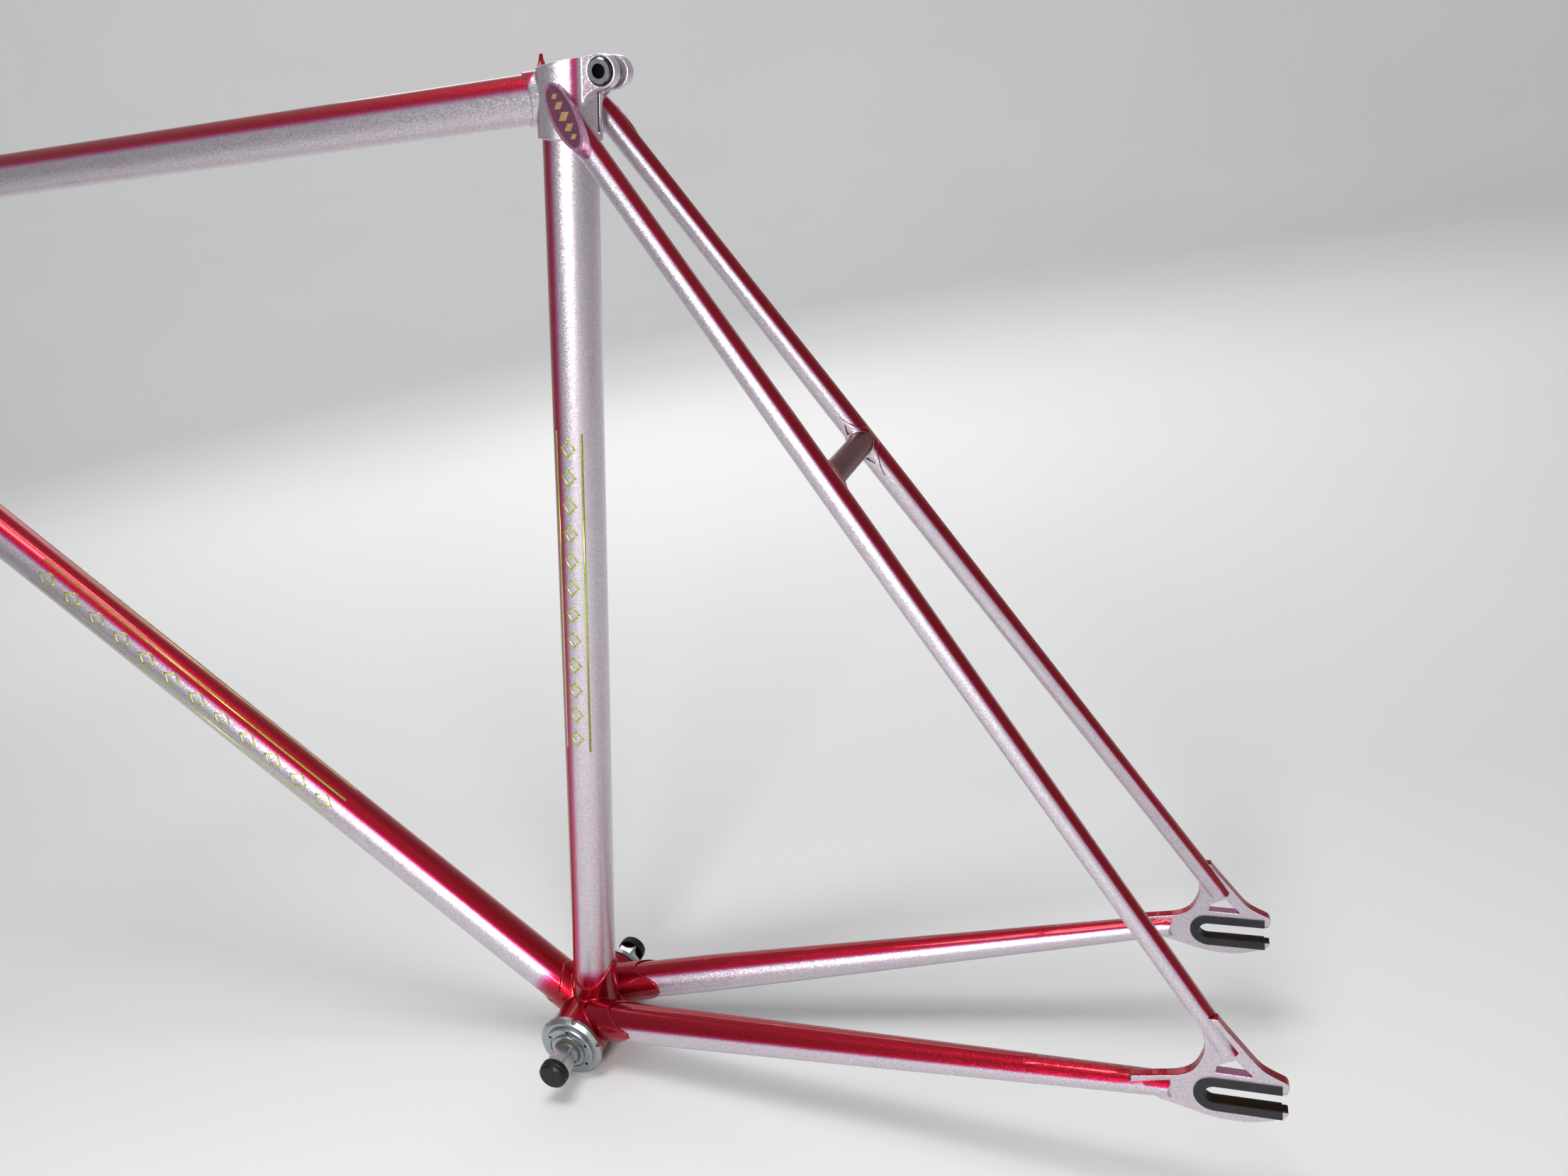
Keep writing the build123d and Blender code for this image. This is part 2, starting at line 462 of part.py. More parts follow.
    for place, outer_y in (("inner", REAR_SPACING / 2), ("outer", PLATE_OUT)):
        with BuildPart() as facing:
            with BuildSketch(Plane(origin=SLOT_AT + Y * (-outer_y if side < 0 else outer_y + FACING),
                                   x_dir=SLOT_WAY, z_dir=(0, -1, 0))):
                with Locations((15.9, 0)):
                    Rectangle(31.8, FACING_W)
                Circle(FACING_W / 2)
                with Locations((20, 0)):
                    Rectangle(42, SLOT_W, mode=Mode.SUBTRACT)
                Circle(SLOT_W / 2, mode=Mode.SUBTRACT)
            extrude(amount=FACING)
        facing.part.label = f"{name}_{place}_facing"
        export_step(facing.part, f"parts/{name}_{place}_facing.step")

# ---------------------------------------------------------------- bridge and its points
BRIDGE_AT = {}
for side in (-1, 1):
    start = Vector(STAY_LOW[0], side * STAY_LOW[1], STAY_LOW[2])
    BRIDGE_AT[side] = start + STAY_WAY[side] * BRIDGE_S
with BuildPart() as bridge:
    with Locations(Plane(origin=(BRIDGE_AT[1].X, -BRIDGE_AT[1].Y, BRIDGE_AT[1].Z), z_dir=Y)):
        Cylinder(BRIDGE_R, 2 * BRIDGE_AT[1].Y, align=MIN)
        Cylinder(BRIDGE_R - WALL, 2 * BRIDGE_AT[1].Y, align=MIN, mode=Mode.SUBTRACT)
    for side in (-1, 1):
        with Locations(Plane(origin=BRIDGE_AT[side] - STAY_WAY[side] * 60, z_dir=STAY_WAY[side])):
            Cylinder(STAY_TOP_R + BRAZE, 120, align=MIN, mode=Mode.SUBTRACT)
bridge.part.label = "seat_stay_bridge"
export_step(bridge.part, "parts/seat_stay_bridge.step")

for side, name in ((-1, "left"), (1, "right")):
    across_way = Vector(STAY_WAY[side].X, 0, STAY_WAY[side].Z).normalized()
    with BuildPart() as point:
        with Locations(Plane(origin=BRIDGE_AT[side] - STAY_WAY[side] * 30, z_dir=STAY_WAY[side])):
            Cylinder(STAY_TOP_R + 1.1, 60, align=MIN)
            Cylinder(STAY_TOP_R + BRAZE, 60, align=MIN, mode=Mode.SUBTRACT)
        with BuildSketch(Plane(origin=BRIDGE_AT[side], x_dir=across_way, z_dir=(0, -side, 0))):
            with BuildLine():
                for turn in (1, -1):
                    Spline((-22.5, 0), (-11.5, turn * 3.7), (-5.2, turn * 7.4))
                    Line((-5.2, turn * 7.4), (5.2, turn * 7.4))
                    Spline((5.2, turn * 7.4), (10.5, turn * 3.7), (19.5, 0))
            make_face()
            Circle(BRIDGE_R + BRAZE, mode=Mode.SUBTRACT)
            for turn in (1, -1):
                with BuildLine():
                    Polyline((turn * 8.2, 2.6), (turn * 8.2, -2.6), (turn * 13.8, 0), close=True)
                make_face(mode=Mode.SUBTRACT)
        extrude(amount=30, mode=Mode.INTERSECT)
    point.part.label = f"{name}_bridge_point"
    export_step(point.part, f"parts/{name}_bridge_point.step")

# ---------------------------------------------------------------- bottom bracket
EDGE = SHELL_WIDTH / 2
CUP_END = BALL_Y - 5.5
THREAD_R = BORE_R - THREAD_GAP
CONTACT = BALL_R * sin(radians(45))
CUP_CONE = BALL_Y + CONTACT + PITCH_R + CONTACT + RUN_GAP
CONE_SUM = BALL_Y - CONTACT + PITCH_R - CONTACT - RUN_GAP
CUP_BORE = 15.6
SEAL_R = 9.6
with BuildPart() as cup_right:
    with BuildSketch(Plane.XY):
        with BuildLine():
            Polyline((THREAD_R, CUP_END), (THREAD_R, EDGE + BRAZE), (20.4, EDGE + BRAZE), (20.4, EDGE + 3.2),
                     (19.6, EDGE + 4), (12.5, EDGE + 4), (12.0, EDGE + 5.6), (SEAL_R, EDGE + 5.6),
                     (SEAL_R, CUP_CONE - 12.2), (12.2, CUP_CONE - 12.2), (CUP_BORE, CUP_CONE - CUP_BORE),
                     (CUP_BORE, CUP_END), close=True)
        make_face()
    revolve(axis=Axis.Y)
    for turn in (-1, 1):
        with Locations((0, EDGE + 3, turn * 23.6)):
            Box(60, 5.8, 10, mode=Mode.SUBTRACT)
cup_right.part.label = "bb_fixed_cup"
export_step(cup_right.part, "parts/bb_fixed_cup.step")

with BuildPart() as cup_left:
    with BuildSketch(Plane.XY):
        with BuildLine():
            Polyline((THREAD_R, -CUP_END), (THREAD_R, -EDGE - 5.4), (16.6, -EDGE - 6.2), (13.4, -EDGE - 6.2),
                     (13.0, -EDGE - 5.4), (12.0, -EDGE - 5.4), (11.6, -EDGE - 7), (SEAL_R, -EDGE - 7),
                     (SEAL_R, 12.2 - CUP_CONE), (12.2, 12.2 - CUP_CONE), (CUP_BORE, CUP_BORE - CUP_CONE),
                     (CUP_BORE, -CUP_END), close=True)
        make_face()
    revolve(axis=Axis.Y)
    for turn in range(6):
        spot = radians(60 * turn + 20)
        with Locations(Plane(origin=(15.0 * cos(spot), -EDGE - 7, 15.0 * sin(spot)), z_dir=Y)):
            Cylinder(1.15, 3.4, align=MIN, mode=Mode.SUBTRACT)
cup_left.part.label = "bb_adjustable_cup"
export_step(cup_left.part, "parts/bb_adjustable_cup.step")

with BuildPart() as lockring:
    with BuildSketch(Plane.XY):
        with BuildLine():
            Polyline((BORE_R, -EDGE - BRAZE), (LOCKRING_R, -EDGE - BRAZE), (LOCKRING_R, -EDGE - 2.2),
                     (LOCKRING_R - 1.0, -EDGE - 3.1), (LOCKRING_R - 2.4, -EDGE - LOCKRING_W),
                     (BORE_R, -EDGE - LOCKRING_W), close=True)
        make_face()
    revolve(axis=Axis.Y)
    for turn in range(6):
        spot = radians(60 * turn + 10)
        with Locations(Plane(origin=(22.6 * cos(spot), -EDGE - 6, 22.6 * sin(spot)), z_dir=Y)):
            Cylinder(1.9, 8, align=MIN, mode=Mode.SUBTRACT)
lockring.part.label = "bb_lockring"
export_step(lockring.part, "parts/bb_lockring.step")

TAPER_IN = EDGE + 9.5
TAPER_END = 12.6
with BuildPart() as spindle:
    with BuildSketch(Plane.XY):
        with BuildLine():
            Polyline((0, 0), (7.6, 0), (7.6, BALL_Y - 9.5), (10.4, BALL_Y - 7.5), (10.4, CONE_SUM - 10.4),
                     (SPINDLE_R, CONE_SUM - SPINDLE_R), (SPINDLE_R, SPINDLE_HALF - 0.8),
                     (SPINDLE_R - 0.8, SPINDLE_HALF), (0, SPINDLE_HALF), close=True)
        make_face()
    revolve(axis=Axis.Y)
    mirror(about=Plane.XZ)
    wide = TAPER_END / 2 + (SPINDLE_HALF - TAPER_IN) * sin(radians(2))
    for end in (-1, 1):
        for turn in range(4):
            with BuildSketch(Plane(origin=(0, 0, 0), x_dir=(0, 1, 0),
                                   z_dir=(sin(radians(90 * turn)), 0, cos(radians(90 * turn))))):
                with BuildLine():
                    Polyline((end * TAPER_IN, wide + 4), (end * TAPER_IN, wide),
                             (end * (SPINDLE_HALF + 1), TAPER_END / 2),
                             (end * (SPINDLE_HALF + 1), wide + 4), close=True)
                make_face()
            extrude(amount=14, both=True, mode=Mode.SUBTRACT)
        with Locations(Plane(origin=(0, end * (SPINDLE_HALF + 1), 0), z_dir=(0, -end, 0))):
            Cylinder(3.4, 27, align=MIN, mode=Mode.SUBTRACT)
spindle.part.label = "bb_spindle"
export_step(spindle.part, "parts/bb_spindle.step")

CAP_IN = CAP_END - 7.1
for side, name in ((-1, "left"), (1, "right")):
    out = Plane(origin=(0, side * CAP_IN, 0), z_dir=(0, side, 0))
    with BuildPart() as end_cap:
        with BuildSketch(Plane.XY):
            with BuildLine():
                Polyline((0, side * CAP_END), (CAP_R - 2.0, side * CAP_END),
                         (CAP_R - 0.4, side * (CAP_END - 1.4)), (CAP_R - 0.4, side * (CAP_END - 3.0)),
                         (CAP_R, side * (CAP_END - 3.4)), (CAP_R, side * (CAP_IN + 0.6)),
                         (CAP_R - 0.6, side * CAP_IN), (SPINDLE_R + PIN_GAP, side * CAP_IN),
                         (SPINDLE_R + PIN_GAP, side * (SPINDLE_HALF + 0.4)),
                         (0, side * (SPINDLE_HALF + 0.4)), close=True)
            make_face()
        revolve(axis=Axis.Y)
        for turn in range(24):
            spot = radians(15 * turn)
            with Locations(Plane(origin=((CAP_R + 0.25) * cos(spot), side * CAP_IN,
                                         (CAP_R + 0.25) * sin(spot)), z_dir=(0, side, 0))):
                Cylinder(0.55, 3.6, align=MIN, mode=Mode.SUBTRACT)
    end_cap.part.label = f"{name}_spindle_cap"
    export_step(end_cap.part, f"parts/{name}_spindle_cap.step")

    with BuildPart() as seal:
        with Locations(Plane(origin=(0, side * (EDGE + 2), 0), z_dir=(0, side, 0))):
            Cylinder(SEAL_R - BRAZE, 5.4 if side < 0 else 4.0, align=MIN)
            Cylinder(SPINDLE_R + PIN_GAP, 9, align=MIN, mode=Mode.SUBTRACT)
    seal.part.label = f"{name}_bb_seal"
    export_step(seal.part, f"parts/{name}_bb_seal.step")

    with BuildPart() as balls:
        with Locations(Plane(origin=(0, side * BALL_Y, 0), z_dir=(0, 1, 0))):
            with PolarLocations(PITCH_R, BALLS):
                Sphere(BALL_R)
    balls.part.label = f"{name}_bb_balls"
    export_step(balls.part, f"parts/{name}_bb_balls.step")

    with BuildPart() as cage:
        with BuildSketch(Plane.XY):
            with BuildLine():
                Polyline((11.1, side * (BALL_Y - 4.4)), (14.8, side * (BALL_Y - 4.4)),
                         (14.8, side * (BALL_Y - 0.4)), (14.0, side * (BALL_Y - 0.4)),
                         (13.6, side * (BALL_Y - 2.6)), (11.1, side * (BALL_Y - 2.6)), close=True)
            make_face()
        revolve(axis=Axis.Y)
        with Locations(Plane(origin=(0, side * BALL_Y, 0), z_dir=(0, 1, 0))):
            with PolarLocations(PITCH_R, BALLS):
                Sphere(BALL_R + 0.12, mode=Mode.SUBTRACT)
    cage.part.label = f"{name}_bb_cage"
    export_step(cage.part, f"parts/{name}_bb_cage.step")
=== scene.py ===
import bpy, bmesh
from math import cos, pi, radians, sin
from mathutils import Matrix, Vector


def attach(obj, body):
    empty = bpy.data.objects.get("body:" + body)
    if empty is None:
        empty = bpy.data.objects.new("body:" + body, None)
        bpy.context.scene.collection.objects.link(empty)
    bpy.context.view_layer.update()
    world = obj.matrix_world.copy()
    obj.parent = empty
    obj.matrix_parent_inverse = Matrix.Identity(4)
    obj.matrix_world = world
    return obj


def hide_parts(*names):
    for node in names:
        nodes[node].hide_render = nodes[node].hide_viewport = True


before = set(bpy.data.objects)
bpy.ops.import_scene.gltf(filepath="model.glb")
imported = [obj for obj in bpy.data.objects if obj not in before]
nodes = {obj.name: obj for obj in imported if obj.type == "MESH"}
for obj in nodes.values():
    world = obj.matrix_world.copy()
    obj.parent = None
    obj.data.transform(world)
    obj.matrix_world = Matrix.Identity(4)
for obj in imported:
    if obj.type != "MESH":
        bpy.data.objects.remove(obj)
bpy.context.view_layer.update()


def way(angle):
    """The direction in the frame's plane that rises by an angle in degrees from straight back."""
    return Vector((cos(radians(angle)), 0, sin(radians(angle))))


def across(along, towards):
    """The part of a direction that is square to a tube."""
    return (towards - along * along.dot(towards)).normalized()


# ------------------------------------------------------------ the frame's lines, in metres
UP, FORWARD = Vector((0, 0, 1)), Vector((-1, 0, 0))
SEAT_ANGLE, DOWN_ANGLE, TOP_RISE = 77, 44.2, 3.8
ST, DT, TT = way(SEAT_ANGLE), way(180 - DOWN_ANGLE), way(180 - TOP_RISE)
TUBE_R = 0.0143              # seat tube and down tube
NODE = ST * 0.6009           # where the top tube's line meets the seat tube's
STAY = {s: (Vector((0.3765, s * 0.0567, 0.1463)), Vector((0.1760, s * 0.0271, 0.5131))) for s in (-1, 1)}
CHAIN = {s: (Vector((0.0431, s * 0.0214, 0.0108)), Vector((0.3472, s * 0.0580, 0.0443))) for s in (-1, 1)}
SLOT = Vector((0.4078, 0, 0.0480))
SLOT_TILT = -2.4
EAR = ST * 0.6126 - across(ST, FORWARD) * 0.0227
SIDES = ((-1, "left"), (1, "right"))


# ------------------------------------------------------------ node materials
class Shade:
    """A small writer of shader nodes: each call adds a node and returns its output."""

    def __init__(self, name):
        self.mat = bpy.data.materials.new(name)
        self.mat.use_nodes = True
        self.tree = self.mat.node_tree
        self.tree.nodes.clear()
        self.out = self.tree.nodes.new("ShaderNodeOutputMaterial")
        self.bsdf = self.tree.nodes.new("ShaderNodeBsdfPrincipled")
        self.tree.links.new(self.bsdf.outputs[0], self.out.inputs[0])
        coord = self.tree.nodes.new("ShaderNodeTexCoord")
        self.pos, self.nor = coord.outputs["Object"], coord.outputs["Normal"]

    def node(self, kind, out=0, inputs=(), **props):
        n = self.tree.nodes.new("ShaderNode" + kind)
        for k, v in props.items():
            setattr(n, k, v)
        for k, v in (inputs.items() if isinstance(inputs, dict) else enumerate(inputs)):
            if isinstance(v, bpy.types.NodeSocket):
                self.tree.links.new(v, n.inputs[k])
            else:
                n.inputs[k].default_value = v
        return n.outputs[out]

    def math(self, op, *args):
        return self.node("Math", 0, args, operation=op)

    def clamp(self, value):
        return self.node("Math", 0, (value, 0.0), operation="ADD", use_clamp=True)

    def vec(self, op, *args):
        out = "Value" if op in ("DOT_PRODUCT", "LENGTH", "DISTANCE") else 0
        return self.node("VectorMath", out, [tuple(a) if isinstance(a, Vector) else a for a in args],
                         operation=op)

    def ramp(self, value, low, high, a=0.0, b=1.0, kind="SMOOTHSTEP"):
        return self.node("MapRange", 0, {"Value": value, "From Min": low, "From Max": high,
                                         "To Min": a, "To Max": b}, interpolation_type=kind)

    def noise(self, scale, detail=2.0, rough=0.5):
        return self.node("TexNoise", "Fac", {"Vector": self.pos, "Scale": scale, "Detail": detail,
                                             "Roughness": rough})

    def cells(self, scale):
        return self.node("TexVoronoi", "Color", {"Vector": self.pos, "Scale": scale})

    def mix(self, factor, a, b, blend="MIX"):
        n = self.tree.nodes.new("ShaderNodeMix")
        n.data_type, n.blend_type, n.clamp_factor = "RGBA", blend, True
        for k, v in ((0, factor), (6, a), (7, b)):
            if isinstance(v, bpy.types.NodeSocket):
                self.tree.links.new(v, n.inputs[k])
            else:
                n.inputs[k].default_value = v if k == 0 else (*v, 1.0)
        return n.outputs[2]

    def colours(self, value, stops):
        n = self.tree.nodes.new("ShaderNodeValToRGB")
        self.tree.links.new(value, n.inputs[0])
        e = n.color_ramp.elements
        while len(e) < len(stops):
            e.new(0.5)
        for k, (p, c) in enumerate(stops):
            e[k].position, e[k].color = p, (*c, 1.0)
        return n.outputs[0]

    def bump(self, height, strength, distance):
        return self.node("Bump", 0, {"Height": height, "Strength": strength, "Distance": distance})

    def times(self, colour, tone):
        """A colour made lighter or darker by a grey value."""
        return self.mix(1.0, colour, self.node("CombineColor", 0, (tone, tone, tone)), "MULTIPLY")

    def mottled(self, colour, scale, low, high, detail=3.0, rough=0.5):
        """A colour with cloudy lighter and darker spots."""
        return self.times(colour, self.ramp(self.noise(scale, detail, rough), 0.3, 0.7, low, high, "LINEAR"))

    def set(self, **inputs):
        for k, v in inputs.items():
            socket = self.bsdf.inputs[k.replace("_", " ")]
            if isinstance(v, bpy.types.NodeSocket):
                self.tree.links.new(v, socket)
            else:
                socket.default_value = (*v, 1.0) if isinstance(v, tuple) else v
        return self.mat


SILVER = (0.60, 0.54, 0.60)
CANDY = ((0.0, SILVER), (0.20, (0.58, 0.25, 0.42)), (0.45, (0.50, 0.060, 0.19)), (0.72, (0.44, 0.006, 0.045)),
         (1.0, (0.34, 0.0020, 0.015)))


def paint(name, amount, shadow=None):
    """Two-tone metallic paint under clear coat. amount(shade) gives how much candy red lies on it, 0 to 1;
    shadow(shade) how much painted shade darkens it to dark brown."""
    s = Shade(name)
    fog = s.math("SUBTRACT", s.noise(38.0, 3.0), 0.5)
    red = s.clamp(s.math("ADD", amount(s), s.math("MULTIPLY", fog, 0.10)))
    base = s.colours(red, CANDY)
    coat = 0.8
    if shadow:
        # painted shade: the colour is mixed towards dark brown and the clear coat thinned where shadow() is
        # high
        painted_shade = s.clamp(shadow(s))
        base = s.mix(painted_shade, base, (0.034, 0.018, 0.010))
        coat = s.ramp(painted_shade, 0.0, 1.0, 0.8, 0.0, "LINEAR")
    flake = s.cells(2600.0)
    grain = s.node("SeparateColor", 0, {0: flake})
    spark = s.ramp(grain, 0.0, 1.0, 0.80, 1.22, "LINEAR")
    cloud = s.ramp(s.noise(900.0, 2.0), 0.3, 0.7, 0.93, 1.06, "LINEAR")
    tone = s.math("MULTIPLY", spark, cloud)
    base = s.times(base, tone)
    tilt = s.vec("SUBTRACT", flake, (0.5, 0.5, 0.5))
    tilt = s.node("VectorMath", 0, {0: tilt, 3: 0.16}, operation="SCALE")
    geo = s.node("NewGeometry", "Normal")
    flat = s.vec("NORMALIZE", s.vec("ADD", geo, tilt))
    return s.set(Base_Color=base, Metallic=0.93, Roughness=0.40, Normal=flat, Coat_Weight=coat,
                 Coat_Roughness=0.04, Coat_IOR=1.4)


def bands(*sprays, bb=True):
    """Red where the surface faces a spray's direction; (direction, degrees half red, softness)."""
    def amount(s):
        total = None
        for d, half, soft in sprays:
            c = s.vec("DOT_PRODUCT", s.nor, d.normalized())
            a = s.ramp(c, cos(radians(half + soft)), cos(radians(half - soft)))
            total = a if total is None else s.math("MAXIMUM", total, a)
        if bb:
            near = s.ramp(s.vec("LENGTH", s.pos), 0.050, 0.033)
            total = near if total is None else s.math("MAXIMUM", total, near)
        return total
    return amount


mats = {}
mats["top_tube"] = paint("paint_top_tube", bands((across(TT, UP), 66, 14), bb=False))
mats["down_tube"] = paint("paint_down_tube", bands((across(DT, UP), 42, 11)))
mats["seat_tube"] = paint("paint_seat_tube", bands((across(ST, FORWARD), 66, 20)))
front_spray = (FORWARD, 55, 16)
mats["head"] = paint("paint_head", bands(front_spray, bb=False))
mats["upper_head"] = paint("paint_upper_head", bands(front_spray, (across(TT, UP), 54, 12), bb=False))
mats["lower_head"] = paint("paint_lower_head", bands(front_spray, (across(DT, UP), 42, 11), bb=False))
mats["shell"] = paint("paint_shell", lambda s: s.ramp(s.vec("LENGTH", s.pos), 0.075, 0.045, 0.6, 1.0))


def lug_red(s):
    """Candy on the lug: the top tube socket's upper half, the front and its peak, a line before each ear."""
    ahead = s.vec("DOT_PRODUCT", s.pos, across(ST, FORWARD))
    socket = s.math("MULTIPLY", s.ramp(ahead, 0.0150, 0.0175),
                    s.ramp(s.vec("DOT_PRODUCT", s.nor, across(TT, UP)), cos(radians(74)), cos(radians(50))))
    front = s.ramp(s.vec("DOT_PRODUCT", s.nor, across(ST, FORWARD)), cos(radians(58)),
                   cos(radians(24)), 0.0, 0.85)
    off_line = s.math("ABSOLUTE", s.math("ADD", ahead, 0.0098))
    ridge = s.math("MULTIPLY", s.ramp(off_line, 0.0022, 0.0004, 0.0, 0.42),
                   s.ramp(s.vec("DOT_PRODUCT", s.pos, ST), 0.588, 0.600))
    peak = s.math("MULTIPLY", s.ramp(ahead, 0.0105, 0.0130),
                  s.ramp(s.vec("DOT_PRODUCT", s.pos, ST), 0.6120, 0.6165))
    return s.math("MAXIMUM", s.math("MAXIMUM", socket, peak), s.math("MAXIMUM", front, ridge))


def plate_edges(s):
    """Candy on the outer edges of a dropout plate; its faces and its window stay silver."""
    edge = s.ramp(s.math("ABSOLUTE", s.vec("DOT_PRODUCT", s.nor, (0, 1, 0))), 0.9, 0.5, 0.0, 1.15)
    window = s.vec("MULTIPLY", s.vec("SUBTRACT", s.pos, SLOT + Vector((0.0080, 0, 0.0180))), (1, 0, 1))
    return s.math("MULTIPLY", edge, s.ramp(s.vec("LENGTH", window), 0.0100, 0.0120, 0.18, 1.0))


def slot_painted_shade(s):
    """Painted shade inside the axle slot: one on the slot's walls, where the dropout paint is darkened to
    dark brown.
    """
    near = s.vec("SUBTRACT", s.pos, SLOT)
    up = s.math("ABSOLUTE", s.vec("DOT_PRODUCT", near, way(SLOT_TILT + 90)))
    behind = s.vec("DOT_PRODUCT", near, way(SLOT_TILT))
    return s.math("MULTIPLY", s.ramp(up, 0.0063, 0.0057), s.ramp(behind, -0.0063, -0.0057))


mats["lug"] = paint("paint_lug", lug_red)
# The bridge is candy red, redder on top. All but its front-upper faces are darkened to dark brown with the
# coat thinned: painted shade for the dark reflections on it.
mats["bridge"] = paint("paint_bridge", lambda s: s.ramp(s.vec("DOT_PRODUCT", s.nor, UP), -0.6, 0.2, 0.6, 1.0),
                       lambda s: s.ramp(s.vec("DOT_PRODUCT", s.nor, (-0.64, 0, 0.77)), 0.97, 0.80, 0.0, 0.72))
for side, name in SIDES:
    low, high = STAY[side]
    along = (high - low).normalized()
    rear_spray = (across(along, Vector((1, 0, 0.3))), 52, 10)
    mats[name + "_seat_stay"] = paint("paint_%s_seat_stay" % name, bands(rear_spray, bb=False))
    mats[name + "_point"] = paint("paint_%s_bridge_point" % name, bands(rear_spray, (UP, 38, 16), bb=False))
    front, rear = CHAIN[side]
    along = (rear - front).normalized()
    mats[name + "_chain_stay"] = paint("paint_%s_chain_stay" % name,
                                       bands((across(along, Vector((0, side * 0.18, 1))), 52, 11)))
    # the walls of each dropout's axle slot get painted shade through the shadow argument
    mats[name + "_dropout"] = paint("paint_%s_dropout" % name, plate_edges, slot_painted_shade)


def metal(name, colour, rough, metallic=1.0, grain=0.08):
    """Bare metal or, with metallic at nought, plastic or rubber, with worn tone and gloss."""
    s = Shade(name)
    base = s.mottled(colour, 260.0, 0.86, 1.08, 4.0, 0.6)
    r = s.ramp(s.noise(700.0, 3.0), 0.3, 0.7, rough * 0.8, rough * 1.3, "LINEAR")
    return s.set(Base_Color=base, Metallic=metallic, Roughness=r,
                 Normal=s.bump(s.noise(1500.0, 2.0), grain, 0.0002))


CAP = {s: (Vector((0.13330, s * 0.0170, 0.5912)), Vector((0.1500, s * 0.0308, 0.5575))) for s in (-1, 1)}
CAP_FACE = {}
for side, word in SIDES:
    low, high = STAY[side]
    along, slope = (high - low).normalized(), (CAP[side][0] - CAP[side][1]).normalized()
    out = slope.cross(along.cross(Vector((0, 1, 0)))).normalized()
    CAP_FACE[side] = out if out.y * side > 0 else -out

    def recess(s, side=side):
        """One on the sunk floor of a seat stay cap, nought on its rim."""
        centre = (CAP[side][0] + CAP[side][1]) * 0.5
        height = s.vec("DOT_PRODUCT", s.vec("SUBTRACT", s.pos, centre), CAP_FACE[side])
        return s.math("MULTIPLY", s.ramp(height, -0.0004, -0.0006),
                      s.ramp(s.vec("DOT_PRODUCT", s.nor, CAP_FACE[side]), 0.9, 0.97))
    # The sunk floor of each cap is a little redder and darkened towards brown: painted shade in the recess.
    mats[word + "_cap"] = paint("paint_%s_cap" % word, lambda s: s.math("ADD", s.math(
        "MULTIPLY", recess(s), 0.10), 0.17), lambda s: s.math("MULTIPLY", recess(s), 0.55))

mats["chrome"] = metal("chrome", (0.78, 0.78, 0.80), 0.12)
s = Shade("socket_bolt")
flat = s.vec("MULTIPLY", s.vec("SUBTRACT", s.pos, EAR), (1.0, 0.0, 1.0))
out = s.vec("LENGTH", flat)
# Near black inside the hex socket and beyond the head's rim: painted shade in the socket and around the head.
# The ring between has the chrome colour.
ring = s.math("MULTIPLY", s.ramp(out, 0.0034, 0.0037), s.ramp(out, 0.0060, 0.0056, 0.12, 1.0))
base = s.mix(ring, (0.02, 0.02, 0.025), (0.62, 0.64, 0.68))
mats["bolt"] = s.set(Base_Color=s.mottled(base, 900.0, 0.85, 1.1), Metallic=1.0, Roughness=0.2)
# The slot facings are bare metal. Their near-black grey is a painted reflection of the dark surroundings.
mats["facing"] = metal("bare_facing", (0.055, 0.055, 0.06), 0.45)
mats["cup"] = metal("cup", (0.40, 0.425, 0.44), 0.32)
mats["steel"] = metal("steel", (0.52, 0.53, 0.55), 0.17, grain=0.02)
mats["seal"] = metal("seal", (0.11, 0.080, 0.055), 0.7, metallic=0.0)
mats["cap"] = metal("cap", (0.006, 0.006, 0.007), 0.42, metallic=0.0)
mats["cap"].node_tree.nodes["Principled BSDF"].inputs["Specular IOR Level"].default_value = 0.3

ASSIGN = {"top_tube": "top_tube", "down_tube": "down_tube", "seat_tube": "seat_tube", "head_tube": "head",
          "upper_head_lug": "upper_head", "lower_head_lug": "lower_head", "seat_lug": "lug",
          "bottom_bracket_shell": "shell", "seat_stay_bridge": "bridge", "binder_bolt": "bolt",
          "binder_nut": "chrome", "bb_fixed_cup": "cup", "bb_adjustable_cup": "cup", "bb_lockring": "cup",
          "bb_spindle": "steel"}
for side, name in SIDES:
    for part, mat in (("seat_stay", name + "_seat_stay"), ("chain_stay", name + "_chain_stay"),
                      ("dropout", name + "_dropout"), ("seat_stay_cap", name + "_cap"),
                      ("bridge_point", name + "_point"),
                      ("inner_facing", "facing"), ("outer_facing", "facing"), ("bb_seal", "seal"),
                      ("bb_balls", "steel"), ("bb_cage", "steel"), ("spindle_cap", "cap")):
        ASSIGN["%s_%s" % (name, part)] = mat
for node, mat in ASSIGN.items():
    nodes[node].data.materials.clear()
    nodes[node].data.materials.append(mats[mat])

# ------------------------------------------------------------ mesh pieces
def add_piece(name, bm, mat, body="frame", smooth=True):
    """A mesh as an object that rides on a body, with the material that it is given."""
    mesh = bpy.data.meshes.new(name)
    bmesh.ops.recalc_face_normals(bm, faces=bm.faces)
    bm.to_mesh(mesh)
    bm.free()
    if smooth:
        mesh.shade_smooth()
    mesh.materials.append(mat)
    o = bpy.data.objects.new(name, mesh)
    bpy.context.scene.collection.objects.link(o)
    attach(o, body)
    return o


def ring_faces(bm, rows):
    """Side faces between each loop of vertices and the next."""
    for a, b in zip(rows, rows[1:]):
        for k in range(len(a)):
            n = (k + 1) % len(a)
            bm.faces.new((a[k], a[n], b[n], b[k]))


